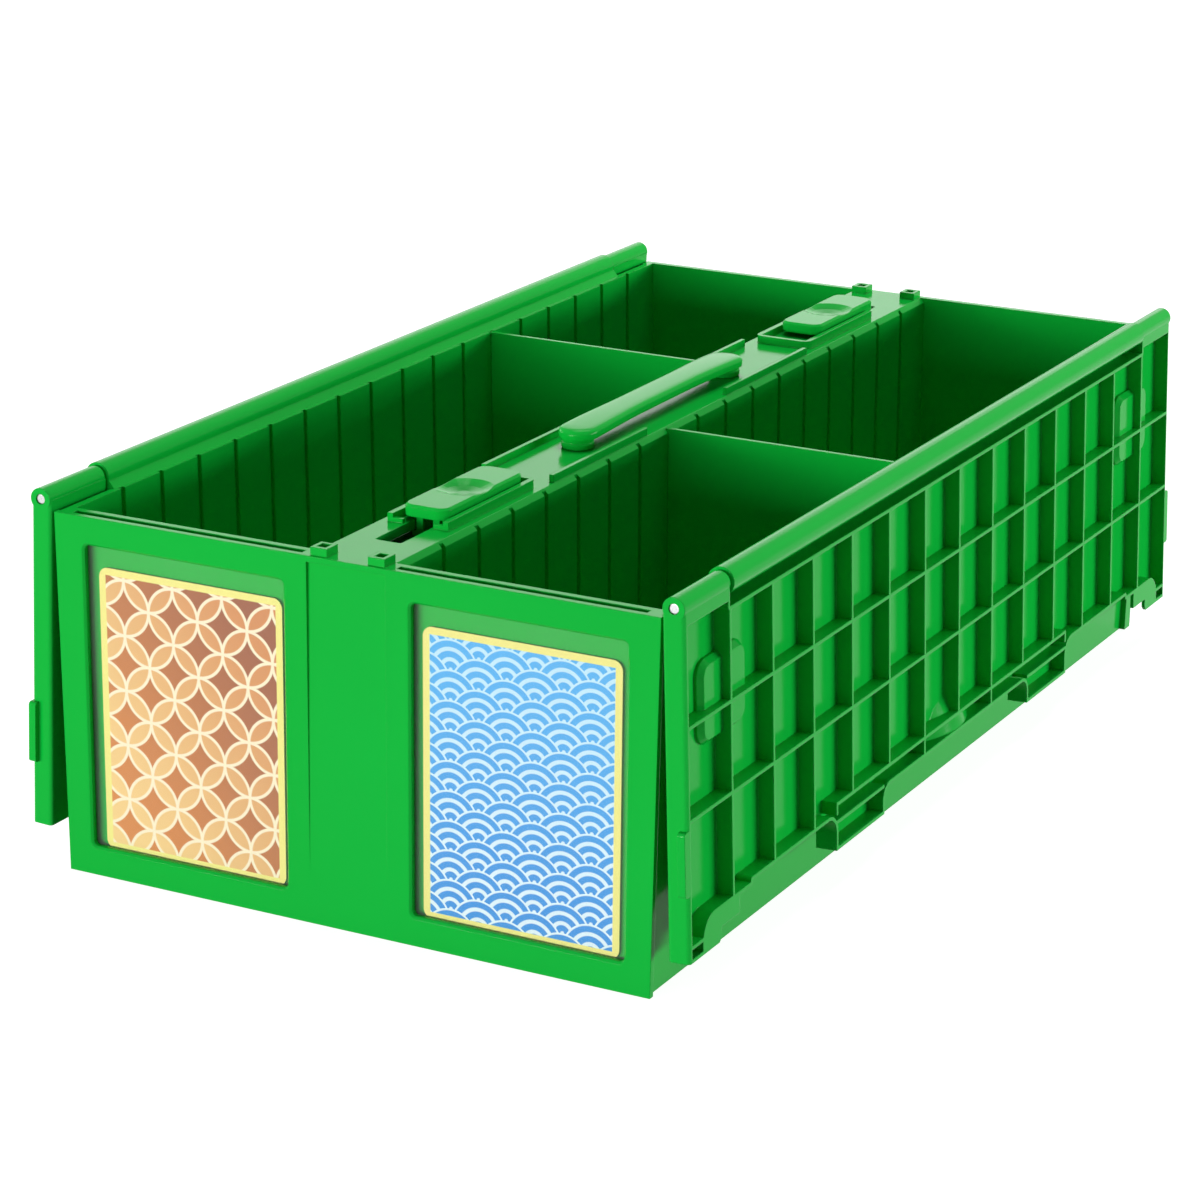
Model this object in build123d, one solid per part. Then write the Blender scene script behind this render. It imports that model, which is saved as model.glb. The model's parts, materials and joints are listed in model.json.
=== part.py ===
from build123d import *
import os

os.makedirs("parts", exist_ok=True)

# Cards and their clear panes (millimetres; X across, Y from front to rear, Z up from the base)
card_width = 63.0
card_height = 88.0
card_thickness = 0.4
card_corner = 3.0
pane_side_margin = 6.5
pane_head = 12.0
pane_thickness = 0.8
pane_front_gap = 0.2
card_front_gap = 0.2
card_rear_gap = 0.8

# Bin, overall
bin_length = 378.0
floor_thickness = 2.2
wall_draft = 2.1
side_wall_top = 2.5
side_wall_bottom = 2.2
flange_top = 0.8
flange_bottom = 1.3
rear_wall = 2.4
rear_flange = 5.0
rear_flange_bottom = 2.0

# Front wall: windowed frame, label slot behind it, inner wall
frame_thickness = 2.0
inner_wall = 2.2
slot_floor = 8.0
slot_head = 3.6
slot_side_clearance = 1.2
slot_side_wall = 2.4
slot_spine_margin = 1.2
window_inner_lip = 5.4
window_outer_lip = 4.7
window_sill = 1.0
window_head = 8.7
window_radius = 1.6
window_edge = 0.7
band_width = 25.8
band_depth = 1.0
band_bottom = 15.0
band_head = 1.8

# Spine: hollow from below
spine_top_half = 14.3
spine_draft = 1.1
spine_bevel = 1.6
spine_roof = 3.0
spine_side = 1.6
spine_end = 3.0

# Grooves in the card rows, and the dividers that stand in them
groove_count = 17
groove_width = 2.1
groove_depth = 1.1
groove_first_share = 0.0640
groove_last_share = 0.9440
divider_left_index = 11
divider_right_index = 7
divider_thickness = 1.6
divider_side_clearance = 0.3
divider_top_drop = 0.2

# Hinges: steel rods, long barrels on the rim, short knuckles on the lids
rod_radius = 1.5
rod_fit = 0.05
rod_end_inset = 0.4
knuckle_margin = 0.22
knuckle_length = 27.7
knuckle_gap = 1.0
knuckle_side_gap = 0.73
barrel_margin = 0.73
web_inset = 1.0
web_reach = 2.2
web_depth = 2.9
web_rise = 1.0

# Lids, measured from the rod axis towards the free edge
lid_lean = 2.15
lid_overhang = 0.9
lid_thickness = 6.8
lid_rib_side = 3.15
lid_close_gap = 0.15
lid_skin = 1.85
lid_rib = 1.1
lid_end_wall = 1.6
lid_end_round = 1.2
lid_top_edge = 6.6
lid_row_margin = 3.5
lid_rows = 3
lid_bays = 14
lid_tip_gap = 1.3
mid_edge_gap = 1.2
notch_edge_gap = 2.2
step_edge_gap = 0.8
step_inset = 39.9
tab_length = 9.4
tab_rib_gap = 0.9
tongue_gap = 3.2
tongue_width = 34.8
tongue_inner_radius = 4.5
tongue_outer_radius = 5.5
tab_radius = 6.5
knuckle_web = 4.9
lock_thickness = 1.1
lock_reach = 5.5
lock_latch_gap = 0.6
lock_wide_inset = 20.0
lock_corner = 1.4
end_pad_proud = 1.9
end_pad_width = 2.4
end_pad_length = 19.0
end_pad_tip_gap = 20.0
end_pad_round = 1.0
scoop_half_width = 19.0
scoop_height = 12.0
scoop_depth = 5.4
scoop_skin = 1.6
dimple_inset = 28.9
dimple_v = 32.0
dimple_length = 25.5
dimple_width = 21.7
dimple_radius = 3.5
dimple_height = 2.4
dimple_skin = 1.5
dimple_edge = 1.6

# Guide rails, kerbs and lugs on the spine
guide_edge_inset = 2.5
guide_wall = 1.9
guide_height = 2.7
guide_length = 53.0
guide_end_inset = 40.0
guide_corner = 3.2
guide_return_wall = 1.3
guide_return_margin = 0.8
guide_return_gap = 0.2
kerb_edge_inset = 0.3
kerb_wall = 1.5
kerb_height = 2.4
kerb_length = 61.7
kerb_tongue_gap = 2.8
lug_edge_inset = 0.5
lug_width = 5.5
lug_depth = 5.9
lug_inset = 1.2
lug_height = 2.4
lug_wall = 1.3

# Latches
latch_side_clearance = 0.7
latch_length = 47.6
latch_thickness = 3.5
latch_lift = 1.6
latch_rest_gap = 0.6
latch_rear_offset = 11.6
latch_corner = 4.0
latch_edge = 0.7
latch_slot_half = 4.3
latch_slot_corner = 0.8
latch_slot_start = 33.1
latch_slot_length = 34.8
latch_slot_clearance = 1.2
latch_leg_inner = 1.7
latch_leg_clearance = 0.4
latch_leg_length = 11.0
latch_barb = 1.6
latch_barb_height = 1.9
latch_under_gap = 0.3
dish_radius = 9.2
dish_depth = 1.8
dish_sides = 24
dish_ring_shares = (1.0, 0.6, 0.2)

# Handle
handle_end_gap = 1.0
handle_half_width = 5.6
handle_thickness = 3.1
handle_rise = 3.7
handle_top_round = 1.8
handle_steep_share = 0.707
handle_bottom_bevel = 0.8
handle_travel = 17.0
handle_stop_gap = 0.4
neck_inset = 1.3
neck_clearance = 0.3
barb_reach = 1.6
barb_height = 3.0

# Sizes that follow from the cards and the panes
pane_width = card_width + 2 * pane_side_margin
pane_height = card_height + pane_head
label_slot = pane_front_gap + pane_thickness + card_front_gap + card_thickness + card_rear_gap
bin_height = slot_floor + pane_height + slot_head
slot_inner_x = spine_top_half + slot_spine_margin
slot_outer_x = slot_inner_x + pane_width + 2 * slot_side_clearance
card_centre_x = (slot_inner_x + slot_outer_x) / 2
wall_bottom_width = 2 * (slot_outer_x + slot_side_wall)
wall_top_width = wall_bottom_width + 2 * wall_draft
panel_bottom_width = wall_bottom_width + 2 * flange_bottom
panel_top_width = wall_top_width + 2 * flange_top
front_y = -bin_length / 2
rear_y = bin_length / 2

# Card rows and spine
row_top_outer = wall_top_width / 2 - side_wall_top
row_bottom_outer = wall_bottom_width / 2 - side_wall_bottom
row_front = front_y + frame_thickness + label_slot + inner_wall
row_rear = rear_y - rear_wall
row_length = row_rear - row_front
groove_pitch = row_length * (groove_last_share - groove_first_share) / (groove_count - 1)
spine_bottom_half = spine_top_half + spine_draft
spine_flat = spine_top_half - spine_bevel
roof_under = bin_height - spine_roof
hollow_half = spine_top_half - groove_depth - spine_side

# Hinge axis
lid_smooth_side = lid_thickness - lid_rib_side
knuckle_radius = lid_rib_side + knuckle_margin
barrel_radius = knuckle_radius + barrel_margin
rod_x = panel_top_width / 2 + knuckle_side_gap + knuckle_radius
rod_z = bin_height + lid_close_gap + lid_rib_side
lid_half_length = bin_length / 2 + lid_overhang
knuckle_near_y = lid_half_length - knuckle_length
barrel_half = knuckle_near_y - knuckle_gap

# What stands on the spine, from its edges and from the ends of the bin
guide_outer = spine_flat - guide_edge_inset
guide_inner = guide_outer - guide_wall
guide_far_y = bin_length / 2 - guide_end_inset
guide_near_y = guide_far_y - guide_length
kerb_outer = spine_flat - kerb_edge_inset
kerb_inner = kerb_outer - kerb_wall
lug_outer = spine_flat - lug_edge_inset
lug_inner = lug_outer - lug_width
tongue_outer_y = guide_near_y - tongue_gap
tongue_inner_y = tongue_outer_y - tongue_width
kerb_far_y = tongue_outer_y - kerb_tongue_gap
kerb_near_y = kerb_far_y - kerb_length
latch_half_width = guide_inner - latch_side_clearance
latch_start_y = guide_near_y + guide_wall + latch_rest_gap
latch_slot_near_y = guide_near_y + guide_wall + latch_slot_start
latch_slot_far_y = latch_slot_near_y + latch_slot_length
handle_half_length = tongue_inner_y - handle_end_gap
neck_y = handle_half_length - handle_half_width
neck_radius = handle_half_width - neck_inset

# Free edge of a lid, shaped to lie round what stands on the spine
lid_tip = rod_x - lid_tip_gap
lid_mid_edge = rod_x - kerb_inner + mid_edge_gap
lid_notch_edge = rod_x - guide_outer - notch_edge_gap
lid_step_edge = rod_x - guide_outer - step_edge_gap
tab_rib = rod_x - lug_inner + tab_rib_gap
tab_y = lid_half_length - tab_length
step_y = lid_half_length - step_inset
lock_near_y = latch_start_y + latch_rear_offset + latch_length + lock_latch_gap
lock_wide_y = lid_half_length - lock_wide_inset
dimple_y = lid_half_length - dimple_inset
end_pad_end = lid_tip - end_pad_tip_gap
end_pad_start = end_pad_end - end_pad_length


def block(x0, x1, y0, y1, z0, z1):
    """Box between two corners."""
    return Pos((x0 + x1) / 2, (y0 + y1) / 2, (z0 + z1) / 2) * Box(abs(x1 - x0), abs(y1 - y0), abs(z1 - z0))


def prism(points, y0, y1):
    """Polygon in X and Z, drawn out from y0 to y1."""
    outline = Polyline([(x, y0, z) for x, z in points], close=True)
    return extrude(make_face(outline), amount=abs(y1 - y0), dir=(0, 1 if y1 > y0 else -1, 0))


def rod_cylinder(radius, y0, y1):
    """Cylinder along Y."""
    return Pos(0, (y0 + y1) / 2, 0) * Rot(90, 0, 0) * Cylinder(radius, y1 - y0)


def groove_y(index):
    """Middle of a divider groove."""
    return row_front + row_length * groove_first_share + index * groove_pitch


def row_section(side, grow):
    """Tapered section of a card row, widened by grow into both of its walls."""
    return [
        (side * (spine_bottom_half - grow), floor_thickness),
        (side * (row_bottom_outer + grow), floor_thickness),
        (side * (row_top_outer + grow), bin_height),
        (side * (spine_top_half - grow), bin_height),
    ]


def trapezoid(bottom_width, top_width):
    """Full-height section with drafted sides."""
    return [
        (-bottom_width / 2, 0),
        (bottom_width / 2, 0),
        (top_width / 2, bin_height),
        (-top_width / 2, bin_height),
    ]


# Bin shell with flanged ends and two rows
bin_body = prism(trapezoid(wall_bottom_width, wall_top_width), front_y, rear_y)
bin_body += prism(trapezoid(panel_bottom_width, panel_top_width), front_y, front_y + frame_thickness)
rear_bottom_width = wall_bottom_width + 2 * rear_flange_bottom
bin_body += prism(trapezoid(rear_bottom_width, panel_top_width), rear_y - rear_flange, rear_y)
bin_cuts = []
for side in (-1, 1):
    bin_cuts.append(prism(row_section(side, 0), row_front, row_rear))
    for index in range(groove_count):
        middle = groove_y(index)
        bin_cuts.append(
            prism(row_section(side, groove_depth), middle - groove_width / 2, middle + groove_width / 2)
        )
bin_body -= bin_cuts

# Bevels along both sides of the spine
for side in (-1, 1):
    bevel = [
        (side * (spine_top_half - spine_bevel), bin_height),
        (side * (spine_top_half + spine_bevel), bin_height),
        (side * (spine_top_half + spine_bevel), bin_height - 2 * spine_bevel),
    ]
    bin_body -= prism(bevel, row_front, row_rear)

# Hollow of the spine
bin_body -= block(-hollow_half, hollow_half, row_front + spine_end, row_rear - spine_end, 0, roof_under)

# Windows, label slots and the sunk band between the windows, which fades out downwards
window_inner_x = slot_inner_x + window_inner_lip
window_outer_x = slot_outer_x - window_outer_lip
window_bottom = slot_floor + window_sill
window_top = bin_height - window_head
window_width = window_outer_x - window_inner_x
window_height = window_top - window_bottom
band_top = bin_height - band_head
for side in (-1, 1):
    bin_body -= block(
        side * slot_inner_x,
        side * slot_outer_x,
        front_y + frame_thickness,
        front_y + frame_thickness + label_slot,
        slot_floor,
        bin_height,
    )
    window_plane = Plane(
        origin=(side * (window_inner_x + window_outer_x) / 2, front_y, (window_bottom + window_top) / 2),
        x_dir=(1, 0, 0),
        z_dir=(0, 1, 0),
    )
    opening = RectangleRounded(window_width, window_height, window_radius)
    flare = RectangleRounded(
        window_width + 2 * window_edge, window_height + 2 * window_edge, window_radius + window_edge
    )
    bin_body -= extrude(window_plane * opening, amount=frame_thickness)
    bin_body -= extrude(window_plane * flare, amount=window_edge, taper=45)
band = make_face(
    Polyline(
        [
            (-band_width / 2, front_y, band_bottom),
            (-band_width / 2, front_y, band_top),
            (-band_width / 2, front_y + band_depth, band_top),
        ],
        close=True,
    )
)
bin_body -= extrude(band, amount=band_width, dir=(1, 0, 0))

# Long hinge barrels on webs along the rims
for side in (-1, 1):
    web = [
        (side * (wall_top_width / 2 - web_inset), bin_height),
        (side * (rod_x - web_reach), rod_z + web_rise),
        (side * rod_x, rod_z),
        (side * (rod_x - web_reach), rod_z - web_depth - web_rise),
        (side * wall_top_width / 2, bin_height - web_depth),
        (side * (wall_top_width / 2 - web_inset), bin_height - web_depth),
    ]
    bin_body += prism(web, -barrel_half, barrel_half)
    axis_place = Pos(side * rod_x, 0, rod_z)
    bin_body += axis_place * rod_cylinder(barrel_radius, -barrel_half, barrel_half)
    bin_body -= axis_place * rod_cylinder(rod_radius + rod_fit, -barrel_half, barrel_half)

# Kerbs, lugs, latch guides and slots on the spine, holes for the handle
for end in (-1, 1):
    for side in (-1, 1):
        bin_body += block(
            side * kerb_inner,
            side * kerb_outer,
            end * kerb_near_y,
            end * kerb_far_y,
            bin_height,
            bin_height + kerb_height,
        )
        lug_y = end * (bin_length / 2 - lug_inset)
        lug = block(
            side * lug_inner, side * lug_outer, lug_y, lug_y - end * lug_depth,
            bin_height, bin_height + lug_height,
        )
        lug -= block(
            side * (lug_inner + lug_wall),
            side * (lug_outer - lug_wall),
            lug_y - end * lug_wall,
            lug_y - end * (lug_depth - lug_wall),
            bin_height,
            bin_height + lug_height,
        )
        bin_body += lug
        bin_body += block(
            side * (latch_slot_half + guide_return_margin),
            side * guide_inner,
            end * (guide_far_y - guide_return_wall),
            end * guide_far_y,
            bin_height,
            bin_height + latch_lift - guide_return_gap,
        )
    guide = Box(2 * guide_outer, guide_length, guide_height)
    guide = fillet(
        guide.edges().filter_by(Axis.Z).group_by(Axis.Y)[0 if end > 0 else -1], guide_corner
    )
    guide -= Pos(0, end * guide_wall, 0) * Box(2 * guide_inner, guide_length, guide_height)
    bin_body += Pos(0, end * (guide_near_y + guide_far_y) / 2, bin_height + guide_height / 2) * guide
    slot = RectangleRounded(2 * latch_slot_half, latch_slot_length, latch_slot_corner)
    slot = extrude(slot, amount=spine_roof, both=True)
    bin_body -= Pos(0, end * (latch_slot_far_y + latch_slot_near_y) / 2, bin_height) * slot
    neck_hole = extrude(Circle(neck_radius + neck_clearance), amount=spine_roof, both=True)
    bin_body -= Pos(0, end * neck_y, bin_height) * neck_hole
export_step(bin_body, "parts/bin.step")

# Hinge rods
rod_half = lid_half_length - rod_end_inset
for side, name in ((-1, "left"), (1, "right")):
    rod = Pos(side * rod_x, 0, rod_z) * rod_cylinder(rod_radius, -rod_half, rod_half)
    export_step(rod, f"parts/hinge_rod_{name}.step")

# Lid, drawn hanging straight down from the rod axis, ribs towards +X
lid_plane = Plane(origin=(-lid_smooth_side, 0, 0), x_dir=(0, 1, 0), z_dir=(1, 0, 0))
half_outline = [
    (knuckle_near_y, lid_top_edge),
    (knuckle_near_y, 0),
    (lid_half_length, 0),
    (lid_half_length, lid_tip),
    (tab_y, lid_tip),
    (tab_y, lid_step_edge),
    (step_y, lid_step_edge),
    (step_y, lid_notch_edge),
    (tongue_outer_y, lid_notch_edge),
    (tongue_outer_y, lid_tip),
    (tongue_inner_y, lid_tip),
    (tongue_inner_y, lid_mid_edge),
]
outline_points = [(y, -v) for y, v in half_outline] + [(-y, -v) for y, v in reversed(half_outline)]
outline = make_face(Polyline(outline_points, close=True))


def corners_at(face, y, v):
    """Both mirrored corners of the outline at a given place."""
    wanted = [Vector(y, -v, 0), Vector(-y, -v, 0)]
    return [c for c in face.vertices() if min((c.center() - w).length for w in wanted) < lid_rib / 2]


for y, v, radius in (
    (tongue_inner_y, lid_mid_edge, tongue_inner_radius),
    (tongue_outer_y, lid_notch_edge, tongue_outer_radius),
    (tab_y, lid_step_edge, tab_radius),
):
    outline = fillet(corners_at(outline, y, v), radius)
lid = extrude(lid_plane * outline, amount=lid_thickness)
end_edges = lid.edges().filter_by(Axis.Z).group_by(Axis.Y)
lid = fillet(end_edges[0] + end_edges[-1], lid_end_round)
lid += rod_cylinder(knuckle_radius, knuckle_near_y, lid_half_length)
lid += rod_cylinder(knuckle_radius, -lid_half_length, -knuckle_near_y)


def strip(y0, y1, v0, v1):
    """Rectangle on the lid's own plane."""
    return Pos((y0 + y1) / 2, -(v0 + v1) / 2) * Rectangle(abs(y1 - y0), abs(v1 - v0))


# Ribs that stay standing between the cells
first_row = lid_top_edge + lid_rib / 2
row_pitch = (lid_notch_edge - lid_row_margin - first_row) / lid_rows
row_edges = [first_row + n * row_pitch for n in range(lid_rows + 1)]
bay = 2 * (lid_half_length - lid_end_wall / 2) / lid_bays
ribs = []
for v in row_edges[1:-1]:
    ribs.append(strip(-lid_half_length, lid_half_length, v - lid_rib / 2, v + lid_rib / 2))
ribs.append(strip(-tongue_outer_y, tongue_outer_y, row_edges[-1] - lid_rib / 2, row_edges[-1] + lid_rib / 2))
for n in range(-lid_bays // 2 + 1, lid_bays // 2):
    y = n * bay
    inner_bay = abs(y) < tongue_outer_y and abs(n) != 1
    ribs.append(strip(y - lid_rib / 2, y + lid_rib / 2, 0, row_edges[-1] if inner_bay else lid_tip))
for end in (-1, 1):
    ribs.append(strip(end * (lid_half_length - lid_end_wall), end * lid_half_length, 0, lid_tip))
    ribs.append(strip(end * knuckle_near_y, end * lid_half_length, 0, knuckle_web))
    ribs.append(
        strip(end * tongue_inner_y, end * tongue_outer_y, lid_mid_edge - lid_rib, lid_mid_edge)
    )
    ribs.append(
        strip(end * (tongue_outer_y - lid_rib), end * tongue_outer_y, row_edges[-1], lid_notch_edge)
    )
    ribs.append(strip(end * tab_y, end * lid_half_length, tab_rib - lid_rib / 2, tab_rib + lid_rib / 2))
cells = offset(outline, amount=-lid_rib) - ribs
lid -= Pos(lid_skin, 0, 0) * extrude(lid_plane * cells, amount=lid_thickness)

# Finger scoop in the middle of the free edge: dished from the smooth side by a cylinder that slants into it
scoop_radius = (scoop_half_width**2 + scoop_depth**2) / (2 * scoop_depth)
scoop_way = Vector(-scoop_depth, 0, scoop_height)
scoop_deepest = Vector(scoop_depth - lid_smooth_side, 0, -lid_mid_edge)
scoop_outwards = Vector(-scoop_height, 0, -scoop_depth).normalized()
scoop_plane = Plane(
    origin=scoop_deepest + scoop_outwards * scoop_radius, x_dir=(0, 1, 0), z_dir=scoop_way
)
scoop_zone = block(
    -lid_smooth_side, lid_rib_side, -tongue_inner_y, tongue_inner_y, -lid_mid_edge, -lid_mid_edge / 2
)
lid += (scoop_plane * Cylinder(scoop_radius + scoop_skin, lid_mid_edge)) & scoop_zone
lid -= scoop_plane * Cylinder(scoop_radius, lid_mid_edge)

# Thin plates flush with the ribs, over which the latches slide when the lid is shut
outside = [
    (lock_near_y, lid_step_edge - lid_rib),
    (lock_near_y, lid_step_edge + lock_reach),
    (lock_wide_y, lid_step_edge + lock_reach),
    (lock_wide_y, lid_tip - lock_corner),
    (lock_wide_y + lock_corner, lid_tip),
    (tab_y + lid_rib / 2, lid_tip),
    (tab_y + lid_rib / 2, lid_step_edge - lid_rib),
]
lock_plane = lid_plane.offset(lid_thickness - lock_thickness)
kept_clear = offset(outline, amount=-lid_rib / 2)
for end in (-1, 1):
    lock = make_face(Polyline([(end * y, -v) for y, v in outside], close=True)) - kept_clear
    lid += extrude(lock_plane * lock, amount=lock_thickness)

# Small pads on the end faces, stacking dimples near both ends
for end in (-1, 1):
    pad = block(
        lid_rib_side - end_pad_width,
        lid_rib_side,
        end * (lid_half_length - lid_end_wall),
        end * (lid_half_length + end_pad_proud),
        -end_pad_end,
        -end_pad_start,
    )
    pad_edges = pad.edges().filter_by(Axis.X).group_by(Axis.Y)[-1 if end > 0 else 0]
    lid += fillet(pad_edges, end_pad_round)
    dimple_plane = Plane(
        origin=(-lid_smooth_side, end * dimple_y, -dimple_v), x_dir=(0, 1, 0), z_dir=(1, 0, 0)
    )
    bump = RectangleRounded(
        dimple_length + 2 * dimple_skin, dimple_width + 2 * dimple_skin, dimple_radius + dimple_skin
    )
    bump = extrude(bump, amount=lid_skin + dimple_height)
    bump = chamfer(bump.edges().group_by(Axis.Z)[-1], dimple_edge)
    lid += dimple_plane * bump
    recess = extrude(RectangleRounded(dimple_length, dimple_width, dimple_radius), amount=dimple_height)
    lid -= dimple_plane * recess
lid -= rod_cylinder(rod_radius + rod_fit, -lid_half_length, lid_half_length)

lid_right = Pos(rod_x, 0, rod_z) * Rot(0, -lid_lean, 0) * lid
lid_left = mirror(lid_right, about=Plane.YZ)
export_step(lid_right, "parts/lid_right.step")
export_step(lid_left, "parts/lid_left.step")

# Latch with a faceted thumb dish, drawn for the rear end: inner end at the origin, spine's top at z = 0
plate = Pos(0, latch_length / 2, latch_lift + latch_thickness / 2) * Box(
    2 * latch_half_width, latch_length, latch_thickness
)
plate = fillet(plate.edges().filter_by(Axis.Z), latch_corner)
plate = chamfer(plate.edges().group_by(Axis.Z)[-1], latch_edge)
dish_rings = []
for share in dish_ring_shares:
    corner = Vector(dish_radius * share, 0, dish_depth * (share**2 - 1))
    dish_rings.append([corner.rotate(Axis.Z, n * 360 / dish_sides) for n in range(dish_sides)])
facets = [dish_rings[0], dish_rings[-1]]
for upper, lower in zip(dish_rings, dish_rings[1:]):
    facets += [(upper[n - 1], upper[n], lower[n], lower[n - 1]) for n in range(dish_sides)]
dish = Solid(Shell([Face(Wire.make_polygon(corners)) for corners in facets]))
plate -= Pos(0, latch_length / 2, latch_lift + latch_thickness) * dish
leg_start = latch_slot_near_y + latch_slot_clearance - latch_start_y
leg_bottom = -spine_roof - latch_under_gap - latch_barb_height
latch = plate
for side in (-1, 1):
    latch += block(
        side * latch_leg_inner,
        side * (latch_slot_half - latch_leg_clearance),
        leg_start,
        leg_start + latch_leg_length,
        leg_bottom,
        latch_lift,
    )
    latch += block(
        side * latch_leg_inner,
        side * (latch_slot_half - latch_leg_clearance + latch_barb),
        leg_start,
        leg_start + latch_leg_length,
        leg_bottom,
        leg_bottom + latch_barb_height,
    )
latch_rear = Pos(0, latch_start_y + latch_rear_offset, bin_height) * latch
latch_front = Pos(0, -latch_start_y, bin_height) * Rot(0, 0, 180) * latch
export_step(latch_rear, "parts/latch_rear.step")
export_step(latch_front, "parts/latch_front.step")

# Handle: rounded bar on two round necks, each with a stop barb at its foot
bar_bottom = bin_height + handle_rise
bar = extrude(
    SlotOverall(2 * handle_half_length, 2 * handle_half_width, rotation=90),
    amount=handle_thickness - handle_top_round,
)
bar = chamfer(bar.edges().group_by(Axis.Z)[0], handle_bottom_bevel)
for layer_share, slope in ((handle_steep_share, 22.5), (1 - handle_steep_share, 67.5)):
    top_face = bar.faces().sort_by(Axis.Z)[-1]
    bar += extrude(top_face, amount=handle_top_round * layer_share, taper=slope)
handle = Pos(0, 0, bar_bottom) * bar
foot = roof_under - handle_travel - handle_stop_gap - barb_height
barb_length = neck_radius + barb_reach
for end in (-1, 1):
    handle += Pos(0, end * neck_y, foot) * extrude(Circle(neck_radius), amount=bar_bottom - foot)
    barb = Box(2 * neck_radius, barb_length, barb_height)
    handle += Pos(0, end * (neck_y + barb_length / 2), foot + barb_height / 2) * barb
export_step(handle, "parts/handle.step")

# Row dividers standing in their grooves
for side, index, name in ((-1, divider_left_index, "left"), (1, divider_right_index, "right")):
    grow = groove_depth - divider_side_clearance
    section = row_section(side, grow)
    top = bin_height - divider_top_drop
    section = [(x, top if z > floor_thickness else z) for x, z in section]
    middle = groove_y(index)
    divider = prism(section, middle - divider_thickness / 2, middle + divider_thickness / 2)
    export_step(divider, f"parts/divider_{name}.step")

# Clear panes and label cards in the front slots
pane_front = front_y + frame_thickness + pane_front_gap
card_front = pane_front + pane_thickness + card_front_gap
for side, name in ((-1, "left"), (1, "right")):
    pane = block(
        side * (card_centre_x - pane_width / 2),
        side * (card_centre_x + pane_width / 2),
        pane_front,
        pane_front + pane_thickness,
        slot_floor,
        slot_floor + pane_height,
    )
    export_step(pane, f"parts/label_pane_{name}.step")
    card = extrude(Plane.XZ * RectangleRounded(card_width, card_height, card_corner), amount=-card_thickness)
    card = Pos(side * card_centre_x, card_front, slot_floor + card_height / 2) * card
    export_step(card, f"parts/label_card_{name}.step")
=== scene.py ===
import json
import math

import bmesh
import bpy
from mathutils import Matrix, Vector


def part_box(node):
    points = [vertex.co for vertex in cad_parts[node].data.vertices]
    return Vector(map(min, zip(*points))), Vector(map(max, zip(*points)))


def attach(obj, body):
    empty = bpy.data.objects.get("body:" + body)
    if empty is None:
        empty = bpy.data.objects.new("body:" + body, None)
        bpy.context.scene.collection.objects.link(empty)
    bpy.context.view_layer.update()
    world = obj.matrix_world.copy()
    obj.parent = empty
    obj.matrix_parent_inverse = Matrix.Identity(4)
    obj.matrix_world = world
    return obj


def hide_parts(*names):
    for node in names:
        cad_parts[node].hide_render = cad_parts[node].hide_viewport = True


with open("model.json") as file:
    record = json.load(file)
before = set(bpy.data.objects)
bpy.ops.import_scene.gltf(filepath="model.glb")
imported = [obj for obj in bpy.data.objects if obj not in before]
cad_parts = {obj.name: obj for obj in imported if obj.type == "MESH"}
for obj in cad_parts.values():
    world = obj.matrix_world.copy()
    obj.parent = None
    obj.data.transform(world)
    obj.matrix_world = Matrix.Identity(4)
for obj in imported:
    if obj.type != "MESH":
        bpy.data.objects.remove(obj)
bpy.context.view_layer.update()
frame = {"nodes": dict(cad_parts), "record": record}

# Camera: place in metres, turns in radians, one square image
CAMERA_PLACE = Vector((0.53074, -1.04629, 0.42836))
CAMERA_YAW = 0.4835
CAMERA_PITCH = 0.3143
CAMERA_ROLL = 0.0115
CAMERA_FIELD = math.radians(18.0705)

# Soft edges, as seen in reflections
EDGE_SAMPLES = 6

# Moulded green polypropylene
GREEN = (0.0045, 0.485, 0.047)
GREEN_DEEP = (0.0035, 0.435, 0.040)
GREEN_FLOW_SCALE = 14.0
GREEN_FLOW_STRETCH = (1.0, 0.35, 1.0)
GREEN_GRAIN_SCALE = 2600.0
GREEN_GRAIN_HEIGHT = 0.000012
GREEN_SINK_SCALE = 55.0
GREEN_SINK_HEIGHT = 0.00006
GREEN_ROUGHNESS = (0.10, 0.17)
GREEN_SPECULAR = 0.07
GREEN_IOR = 1.49
GREEN_EDGE = 0.00045

# Drawn steel of the hinge rods
STEEL = (0.58, 0.58, 0.57)
STEEL_DARK = (0.42, 0.43, 0.44)
STEEL_LINE_SCALE = 2400.0
STEEL_LINE_STRETCH = (1.0, 0.02, 1.0)
STEEL_ROUGHNESS = (0.22, 0.36)
STEEL_EDGE = 0.00045

# Clear panes
PANE = (0.80, 0.88, 0.82)
PANE_ALPHA = (0.03, 0.05)
PANE_HAZE_SCALE = 30.0
PANE_ROUGHNESS = 0.09

# Printed cards: each pair of colours is the lower one, then the upper one
CARD_BORDER = 0.0022
CARD_BORDER_SOFT_SHARE = 0.06
CARD_BORDER_COLOUR = (0.93, 0.85, 0.25)
CARD_GRAIN_SCALE = 900.0
CARD_GRAIN_HEIGHT = 0.00001
CARD_ROUGHNESS = 0.38
CARD_SPECULAR = 0.2
LATTICE_CELL = 0.0085
LATTICE_LINE_SHARE = 0.055
LATTICE_SOFT_SHARE = 0.02
LATTICE_GROUND = ((0.72, 0.25, 0.045), (0.33, 0.095, 0.040))
LATTICE_LEAF = ((0.95, 0.66, 0.26), (0.68, 0.26, 0.085))
LATTICE_LINE = (1.0, 0.88, 0.62)
WAVE_RADIUS = 0.0090
WAVE_RINGS = 3.0
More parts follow.
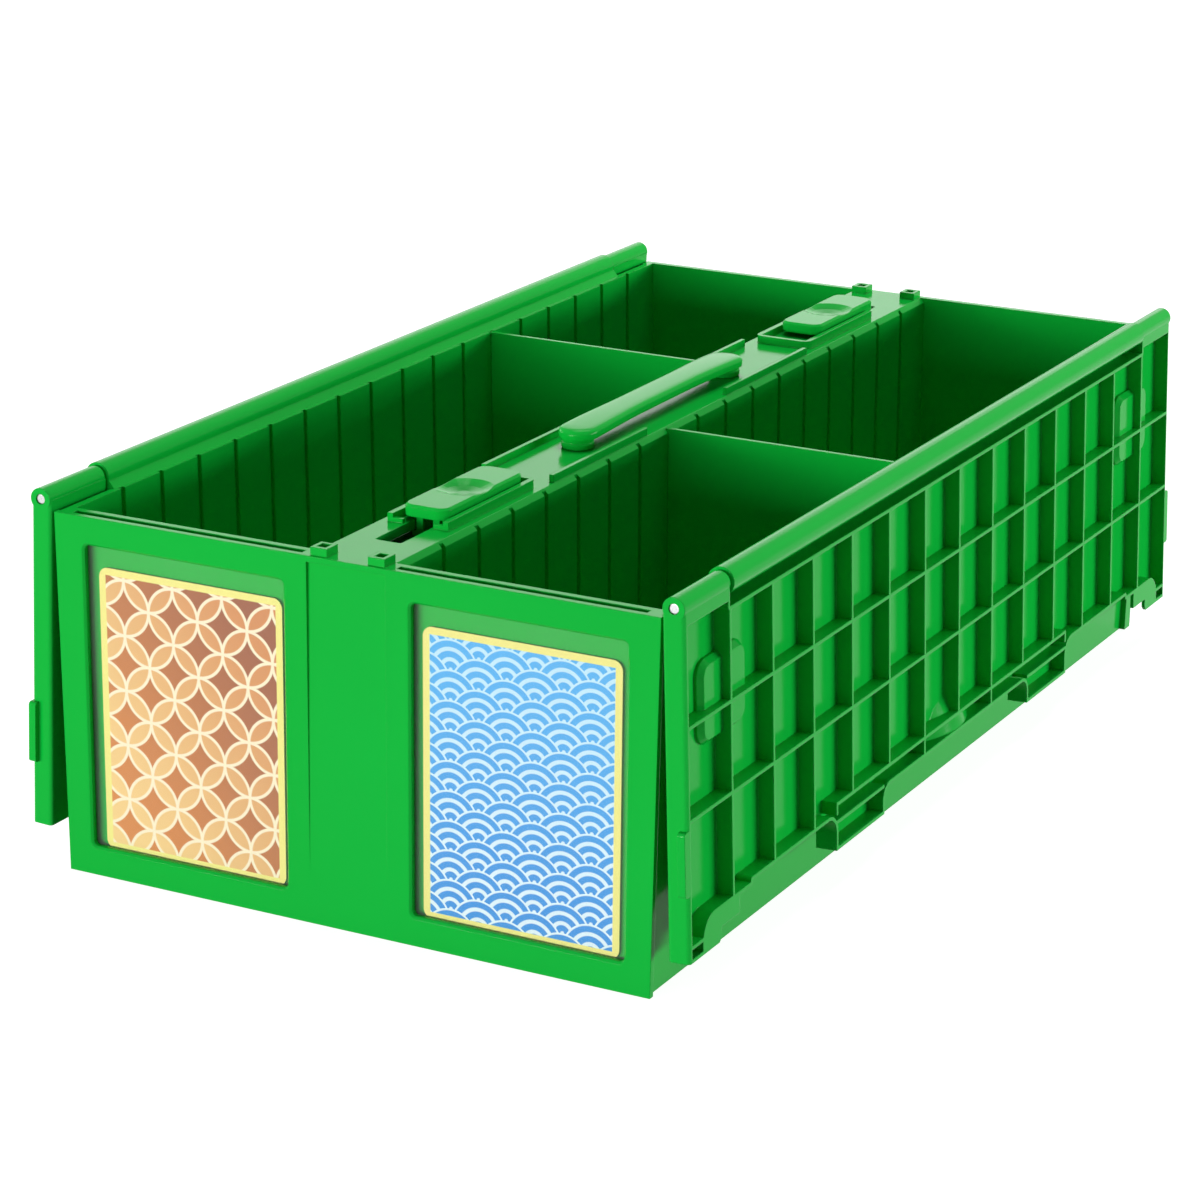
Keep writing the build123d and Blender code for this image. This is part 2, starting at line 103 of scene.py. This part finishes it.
# Rows that reach a point, from the rearmost to the foremost
WAVE_ROWS = (3, 2, 1, 0)
WAVE_PALE_SHARE = 0.30
WAVE_SOFT_SHARE = 0.05
WAVE_DEEP = ((0.030, 0.30, 0.78), (0.085, 0.46, 0.90))
WAVE_PALE = ((0.80, 0.94, 1.0), (0.56, 0.84, 0.98))

# Handle: waisted, arched bar on two shouldered necks, in metres
BAR_HALF_LENGTH = 0.0570
BAR_WAIST = 0.0056
BAR_END = 0.0064
BAR_STRAIGHT_SHARE = 0.3
BAR_ARCH = 0.0007
BAR_ARCH_POWER = 4
BAR_DROP = 0.0002
BAR_THICKNESS = 0.0037
# Inset from the outline and height over the underside, from bottom to top
BAR_PROFILE = ((0.0010, 0.0), (0.0003, 0.0003), (0.0, 0.0010), (0.0, 0.0023),
               (0.0003, 0.0030), (0.0008, 0.0034), (0.0015, 0.0036), (0.0028, 0.0037))
BAR_STEPS = 24
ROUND_STEPS = 12
NECK_PLACE = 0.0514
NECK_SHANK = 0.0043
NECK_SHOULDER = 0.0052
NECK_GROOVE = 0.0049
NECK_GROOVE_DROP = 0.0007
NECK_GROOVE_HALF_HEIGHT = 0.0004
NECK_GROOVE_HALF_FLOOR = 0.00015
NECK_INTO_BAR = 0.0006
NECK_STEPS = 48
SHOULDER_GAP = 0.00015
SHOULDER_BEVEL = 0.0002
SHOULDER_BEVEL_FOOT = 0.0002
SHOULDER_BEVEL_TOP = 0.0005
SPINE_TOP = 0.1116
BARB_REACH = 0.0016
BARB_HEIGHT = 0.0030
HANDLE_SHARP_ANGLE = math.radians(35)

# Stage: the floor and the world look white, and light the object only a little
FLOOR_SIZE = 12.0
FLOOR_COLOUR = (0.36, 0.36, 0.36)
FLOOR_GLOW = 0.93
WORLD_AMBIENT = 0.13
WORLD_SEEN = 1.0

# Softboxes: name, place, point that it faces, width and height (all in metres), and power in watts
SOFTBOXES = (
    ("key_front", (-0.50, -2.10, 0.22), (0, 0, 0.06), (1.4, 0.34), 38.0),
    ("fill_right_rear", (1.95, 0.95, 0.22), (0, 0, 0.06), (1.4, 0.34), 36.0),
    ("top_rear", (-0.15, 0.60, 2.00), (0, 0, 0.1), (1.2, 1.2), 26.0),
    ("fill_left", (-1.95, 0.20, 0.30), (0, 0, 0.06), (1.2, 0.5), 9.0),
    ("rim_rear", (-0.95, 1.87, 0.85), (0, 0, 0.1), (1.6, 1.0), 7.0),
)


class Nodes:
    """Small helper that adds shader nodes and links them as it goes."""

    def __init__(self, tree):
        self.tree = tree

    def add(self, kind, **settings):
        node = self.tree.nodes.new(kind)
        for key, value in settings.items():
            setattr(node, key, value)
        return node

    def feed(self, socket, value):
        if isinstance(value, bpy.types.NodeSocket):
            self.tree.links.new(value, socket)
        else:
            socket.default_value = value

    def math(self, operation, *values):
        node = self.add("ShaderNodeMath", operation=operation)
        for socket, value in zip(node.inputs, values):
            self.feed(socket, value)
        return node.outputs[0]

    def length(self, x, y):
        return self.math("SQRT", self.math("ADD", self.math("MULTIPLY", x, x), self.math("MULTIPLY", y, y)))

    def mix(self, factor, first, second):
        """Mix of two colours; inputs 6 and 7 and output 2 are this node's colour sockets."""
        node = self.add("ShaderNodeMix", data_type="RGBA")
        self.feed(node.inputs["Factor"], factor)
        for socket, value in ((node.inputs[6], first), (node.inputs[7], second)):
            self.feed(socket, value if isinstance(value, bpy.types.NodeSocket) else (*value, 1.0))
        return node.outputs[2]

    def span(self, value, low, high, smooth=False):
        node = self.add("ShaderNodeMapRange", interpolation_type="SMOOTHSTEP" if smooth else "LINEAR")
        self.feed(node.inputs["Value"], value)
        node.inputs["To Min"].default_value = low
        node.inputs["To Max"].default_value = high
        return node.outputs[0]

    def step(self, value, edge, soft):
        """0 below the edge, 1 above it, with a soft change."""
        node = self.add("ShaderNodeMapRange", interpolation_type="SMOOTHSTEP")
        self.feed(node.inputs["Value"], value)
        node.inputs["From Min"].default_value = edge - soft
        node.inputs["From Max"].default_value = edge + soft
        return node.outputs[0]

    def place(self):
        return self.add("ShaderNodeTexCoord").outputs["Object"]

    def noise(self, scale, detail=2.0, stretch=None):
        vector = self.place()
        if stretch:
            mapping = self.add("ShaderNodeMapping")
            self.feed(mapping.inputs["Vector"], vector)
            mapping.inputs["Scale"].default_value = stretch
            vector = mapping.outputs[0]
        node = self.add("ShaderNodeTexNoise")
        self.feed(node.inputs["Vector"], vector)
        node.inputs["Scale"].default_value = scale
        node.inputs["Detail"].default_value = detail
        return node.outputs["Fac"]

    def bump(self, height, distance, normal=None):
        node = self.add("ShaderNodeBump")
        node.inputs["Distance"].default_value = distance
        self.feed(node.inputs["Height"], height)
        if normal is not None:
            self.feed(node.inputs["Normal"], normal)
        return node.outputs[0]

    def soft_edges(self, radius):
        node = self.add("ShaderNodeBevel", samples=EDGE_SAMPLES)
        node.inputs["Radius"].default_value = radius
        return node.outputs[0]

    def seen_rays(self):
        """1 for rays from the camera and those that mirrors and clear pieces send on, else 0."""
        rays = self.add("ShaderNodeLightPath")
        mirrored = self.math("MAXIMUM", rays.outputs["Is Glossy Ray"], rays.outputs["Is Transmission Ray"])
        return self.math("MAXIMUM", rays.outputs["Is Camera Ray"], mirrored)

    def set(self, **values):
        shader = self.tree.nodes["Principled BSDF"]
        for name, value in values.items():
            self.feed(shader.inputs[name.replace("_", " ")], value)


def new_material(name):
    material = bpy.data.materials.new(name)
    material.use_nodes = True
    return material, Nodes(material.node_tree)


def green_plastic():
    material, n = new_material("green_plastic")
    flow = n.noise(GREEN_FLOW_SCALE, detail=3.0, stretch=GREEN_FLOW_STRETCH)
    grain = n.noise(GREEN_GRAIN_SCALE, detail=1.0)
    sink = n.noise(GREEN_SINK_SCALE, detail=1.0)
    n.set(Base_Color=n.mix(flow, GREEN_DEEP, GREEN), Roughness=n.span(flow, *GREEN_ROUGHNESS))
    edges = n.soft_edges(GREEN_EDGE)
    waves = n.bump(sink, GREEN_SINK_HEIGHT, edges)
    n.set(Normal=n.bump(grain, GREEN_GRAIN_HEIGHT, waves), IOR=GREEN_IOR, Specular_IOR_Level=GREEN_SPECULAR)
    return material


def rod_steel():
    material, n = new_material("rod_steel")
    lines = n.noise(STEEL_LINE_SCALE, stretch=STEEL_LINE_STRETCH)
    n.set(Base_Color=n.mix(lines, STEEL_DARK, STEEL), Roughness=n.span(lines, *STEEL_ROUGHNESS), Metallic=1.0)
    n.set(Normal=n.soft_edges(STEEL_EDGE))
    return material


def clear_plastic():
    material, n = new_material("clear_plastic")
    haze = n.noise(PANE_HAZE_SCALE, detail=3.0)
    n.set(Base_Color=(*PANE, 1.0), Roughness=PANE_ROUGHNESS, Alpha=n.span(haze, *PANE_ALPHA))
    return material


def card_coordinates(n, node):
    """Place on a card in metres from its lower left corner, the way to its nearest edge, and its size."""
    low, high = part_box(node)
    split = n.add("ShaderNodeSeparateXYZ")
    n.feed(split.inputs[0], n.place())
    across = n.math("SUBTRACT", split.outputs["X"], low[0])
    up = n.math("SUBTRACT", split.outputs["Z"], low[2])
    width, height = high[0] - low[0], high[2] - low[2]
    edge_across = n.math("MINIMUM", across, n.math("SUBTRACT", width, across))
    edge_up = n.math("MINIMUM", up, n.math("SUBTRACT", height, up))
    return across, up, n.math("MINIMUM", edge_across, edge_up), width, height


def finish_card(n, picture, edge):
    inside = n.step(edge, CARD_BORDER, CARD_BORDER * CARD_BORDER_SOFT_SHARE)
    n.set(Base_Color=n.mix(inside, CARD_BORDER_COLOUR, picture), Roughness=CARD_ROUGHNESS)
    n.set(Normal=n.bump(n.noise(CARD_GRAIN_SCALE), CARD_GRAIN_HEIGHT), Specular_IOR_Level=CARD_SPECULAR)


def card_lattice(node):
    """Interlaced rings in warm browns and ambers."""
    material, n = new_material("card_amber")
    across, up, edge, width, height = card_coordinates(n, node)
    cells = [n.math("DIVIDE", value, LATTICE_CELL) for value in (across, up)]
    whole = [n.math("FLOOR", value) for value in cells]
    odd = n.math("FLOORED_MODULO", n.math("ADD", *whole), 2.0)
    u = n.math("ABSOLUTE", n.math("SUBTRACT", n.math("FRACT", cells[0]), odd))
    v = n.math("FRACT", cells[1])
    near = n.length(u, v)
    far = n.length(n.math("SUBTRACT", 1.0, u), n.math("SUBTRACT", 1.0, v))
    petal = n.step(n.math("MAXIMUM", near, far), 1.0, LATTICE_SOFT_SHARE)
    line = n.math("MINIMUM", n.math("ABSOLUTE", n.math("SUBTRACT", near, 1.0)),
                  n.math("ABSOLUTE", n.math("SUBTRACT", far, 1.0)))
    slope = n.math("ADD", n.math("DIVIDE", across, width), n.math("DIVIDE", up, height))
    slope = n.span(n.math("MULTIPLY", slope, 0.5), 0.0, 1.0, smooth=True)
    picture = n.mix(petal, n.mix(slope, *LATTICE_LEAF), n.mix(slope, *LATTICE_GROUND))
    off_line = n.step(line, LATTICE_LINE_SHARE, LATTICE_SOFT_SHARE)
    finish_card(n, n.mix(off_line, LATTICE_LINE, picture), edge)
    return material


def card_waves(node):
    """Rows of overlapping ring waves in sky blues."""
    material, n = new_material("card_blue")
    across, up, edge, _, height = card_coordinates(n, node)
    row_height = WAVE_RADIUS / 2
    first_row = n.math("CEIL", n.math("DIVIDE", n.math("SUBTRACT", up, WAVE_RADIUS), row_height))
    reach = 1.0
    for offset in WAVE_ROWS:
        row = n.math("ADD", first_row, float(offset))
        shift = n.math("MULTIPLY", n.math("FLOORED_MODULO", row, 2.0), WAVE_RADIUS)
        dx = n.math("WRAP", n.math("SUBTRACT", across, shift), WAVE_RADIUS, -WAVE_RADIUS)
        dy = n.math("SUBTRACT", up, n.math("MULTIPLY", row, row_height))
        share = n.math("DIVIDE", n.length(dx, dy), WAVE_RADIUS)
        hit = n.math("LESS_THAN", share, 1.0)
        kept = n.math("MULTIPLY", reach, n.math("SUBTRACT", 1.0, hit))
        reach = n.math("ADD", kept, n.math("MULTIPLY", share, hit))
    rings = n.math("FRACT", n.math("MULTIPLY", reach, WAVE_RINGS))
    off_middle = n.math("ABSOLUTE", n.math("SUBTRACT", rings, 0.5))
    pale = n.step(off_middle, WAVE_PALE_SHARE, WAVE_SOFT_SHARE)
    slope = n.span(n.math("DIVIDE", up, height), 0.0, 1.0, smooth=True)
    finish_card(n, n.mix(pale, n.mix(slope, *WAVE_DEEP), n.mix(slope, *WAVE_PALE)), edge)
    return material


# Every CAD node gets the material of its slot
MATERIALS = {"green_plastic": green_plastic(), "rod_steel": rod_steel(), "clear_plastic": clear_plastic()}
for part in frame["record"]["subparts"]:
    name, slot = part["node"], part["material_slot"]
    if slot == "card_amber":
        material = card_lattice(name)
    elif slot == "card_blue":
        material = card_waves(name)
    else:
        material = MATERIALS[slot]
    mesh = frame["nodes"][name].data
    mesh.materials.clear()
    mesh.materials.append(material)


def cap(mesh, ring):
    """Strips across a ring that is its own mirror image and starts at a tip."""
    count = len(ring)
    for i in range(count // 2):
        corners = (ring[i], ring[i + 1], ring[(count - i - 1) % count], ring[(count - i) % count])
        mesh.faces.new(tuple(dict.fromkeys(corners)))


def add_shell(mesh, rings):
    """Closed skin over rings of points, from the lowest to the highest."""
    rings = [[mesh.verts.new(point) for point in ring] for ring in rings]
    for lower, upper in zip(rings, rings[1:]):
        for i in range(len(lower)):
            j = (i + 1) % len(lower)
            mesh.faces.new((lower[i], lower[j], upper[j], upper[i]))
    cap(mesh, rings[0])
    cap(mesh, rings[-1])


def add_bar(mesh, underside):
    """Each point of the outline's right half is a place on the middle line, a radius and an angle."""
    centre = BAR_HALF_LENGTH - BAR_END
    half = [(-centre, BAR_END, math.radians(-90 + 90 * i / ROUND_STEPS)) for i in range(ROUND_STEPS)]
    for i in range(BAR_STEPS + 1):
        place = centre * (2 * i / BAR_STEPS - 1)
        share = max(0.0, abs(place) / centre - BAR_STRAIGHT_SHARE) / (1 - BAR_STRAIGHT_SHARE)
        flare = (BAR_END - BAR_WAIST) * share * share * (3 - 2 * share)
        half.append((place, BAR_WAIST + flare, 0.0))
    half += [(centre, BAR_END, math.radians(90 * i / ROUND_STEPS)) for i in range(1, ROUND_STEPS + 1)]
    rings = []
    for inset, height in BAR_PROFILE:
        side = []
        for place, radius, angle in half:
            y = place + (radius - inset) * math.sin(angle)
            arch = BAR_ARCH * (1 - (y / BAR_HALF_LENGTH) ** BAR_ARCH_POWER) - BAR_DROP
            side.append(((radius - inset) * math.cos(angle), y, underside + height + arch))
        other = [(-x, y, z) for x, y, z in reversed(side[1:-1])]
        rings.append(side + other)
    add_shell(mesh, rings)


def add_neck(mesh, end, foot, underside):
    """Shank in its hole, shoulder over the spine with a groove under the bar, and stop barb at the foot."""
    groove = underside - NECK_GROOVE_DROP
    profile = (
        (NECK_SHANK, foot),
        (NECK_SHANK, SPINE_TOP + SHOULDER_GAP),
        (NECK_SHOULDER - SHOULDER_BEVEL, SPINE_TOP + SHOULDER_BEVEL_FOOT),
        (NECK_SHOULDER, SPINE_TOP + SHOULDER_BEVEL_TOP),
        (NECK_SHOULDER, groove - NECK_GROOVE_HALF_HEIGHT),
        (NECK_GROOVE, groove - NECK_GROOVE_HALF_FLOOR),
        (NECK_GROOVE, groove + NECK_GROOVE_HALF_FLOOR),
        (NECK_SHOULDER, groove + NECK_GROOVE_HALF_HEIGHT),
        (NECK_SHOULDER, underside + NECK_INTO_BAR),
    )
    turns = [2 * math.pi * i / NECK_STEPS - math.pi / 2 for i in range(NECK_STEPS)]
    middle = end * NECK_PLACE
    add_shell(mesh, [[(r * math.cos(a), middle + r * math.sin(a), z) for a in turns] for r, z in profile])
    barb_length = NECK_SHANK + BARB_REACH
    place = Matrix.Translation((0, end * (NECK_PLACE + barb_length / 2), foot + BARB_HEIGHT / 2))
    size = Matrix.Diagonal((2 * NECK_SHANK, barb_length, BARB_HEIGHT, 1.0))
    bmesh.ops.create_cube(mesh, size=1.0, matrix=place @ size)


def dress_handle():
    """Shows a fuller handle in place of the plain CAD one."""
    low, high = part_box("handle")
    underside = high[2] - BAR_THICKNESS
    mesh = bmesh.new()
    add_bar(mesh, underside)
    for end in (-1, 1):
        add_neck(mesh, end, low[2], underside)
    bmesh.ops.recalc_face_normals(mesh, faces=mesh.faces)
    data = bpy.data.meshes.new("handle_bar_and_necks")
    mesh.to_mesh(data)
    mesh.free()
    data.shade_smooth()
    data.set_sharp_from_angle(angle=HANDLE_SHARP_ANGLE)
    data.materials.append(MATERIALS["green_plastic"])
    piece = bpy.data.objects.new("handle_bar_and_necks", data)
    bpy.context.scene.collection.objects.link(piece)
    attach(piece, "handle")
    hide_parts("handle")


dress_handle()

# Floor and backdrop
bpy.ops.mesh.primitive_plane_add(size=FLOOR_SIZE)
floor = bpy.context.object
floor.name = "floor"
paper, n = new_material("floor_paper")
paper.node_tree.nodes.clear()
diffuse = n.add("ShaderNodeBsdfDiffuse")
diffuse.inputs["Color"].default_value = (*FLOOR_COLOUR, 1.0)
glow = n.add("ShaderNodeEmission")
n.feed(glow.inputs["Strength"], n.math("MULTIPLY", n.seen_rays(), FLOOR_GLOW))
both = n.add("ShaderNodeAddShader")
n.feed(both.inputs[0], diffuse.outputs[0])
n.feed(both.inputs[1], glow.outputs[0])
n.feed(n.add("ShaderNodeOutputMaterial").inputs[0], both.outputs[0])
floor.data.materials.append(paper)

# World: white where it is seen, weak where it lights
world = bpy.data.worlds.new("studio")
bpy.context.scene.world = world
world.use_nodes = True
world.node_tree.nodes.clear()
n = Nodes(world.node_tree)
sky = n.add("ShaderNodeBackground")
n.feed(sky.inputs["Strength"], n.span(n.seen_rays(), WORLD_AMBIENT, WORLD_SEEN))
n.feed(n.add("ShaderNodeOutputWorld").inputs[0], sky.outputs[0])


def softbox(name, place, aim, size, power):
    light = bpy.data.lights.new(name, "AREA")
    light.shape = "RECTANGLE"
    light.size, light.size_y = size
    light.energy = power
    lamp = bpy.data.objects.new(name, light)
    bpy.context.scene.collection.objects.link(lamp)
    lamp.location = place
    lamp.rotation_euler = (Vector(aim) - Vector(place)).to_track_quat("-Z", "Y").to_euler()


for settings in SOFTBOXES:
    softbox(*settings)

# Camera
camera = bpy.data.cameras.new("camera")
camera.angle = CAMERA_FIELD
back = Vector((
    math.sin(CAMERA_YAW) * math.cos(CAMERA_PITCH),
    -math.cos(CAMERA_YAW) * math.cos(CAMERA_PITCH),
    math.sin(CAMERA_PITCH),
))
level_right = Vector((math.cos(CAMERA_YAW), math.sin(CAMERA_YAW), 0))
level_up = back.cross(level_right)
right = math.cos(CAMERA_ROLL) * level_right + math.sin(CAMERA_ROLL) * level_up
up = math.cos(CAMERA_ROLL) * level_up - math.sin(CAMERA_ROLL) * level_right
holder = bpy.data.objects.new("camera", camera)
bpy.context.scene.collection.objects.link(holder)
turn = Matrix((right, up, back)).transposed().to_4x4()
holder.matrix_world = Matrix.Translation(CAMERA_PLACE) @ turn
bpy.context.scene.camera = holder

bpy.context.scene.view_settings.view_transform = "Standard"
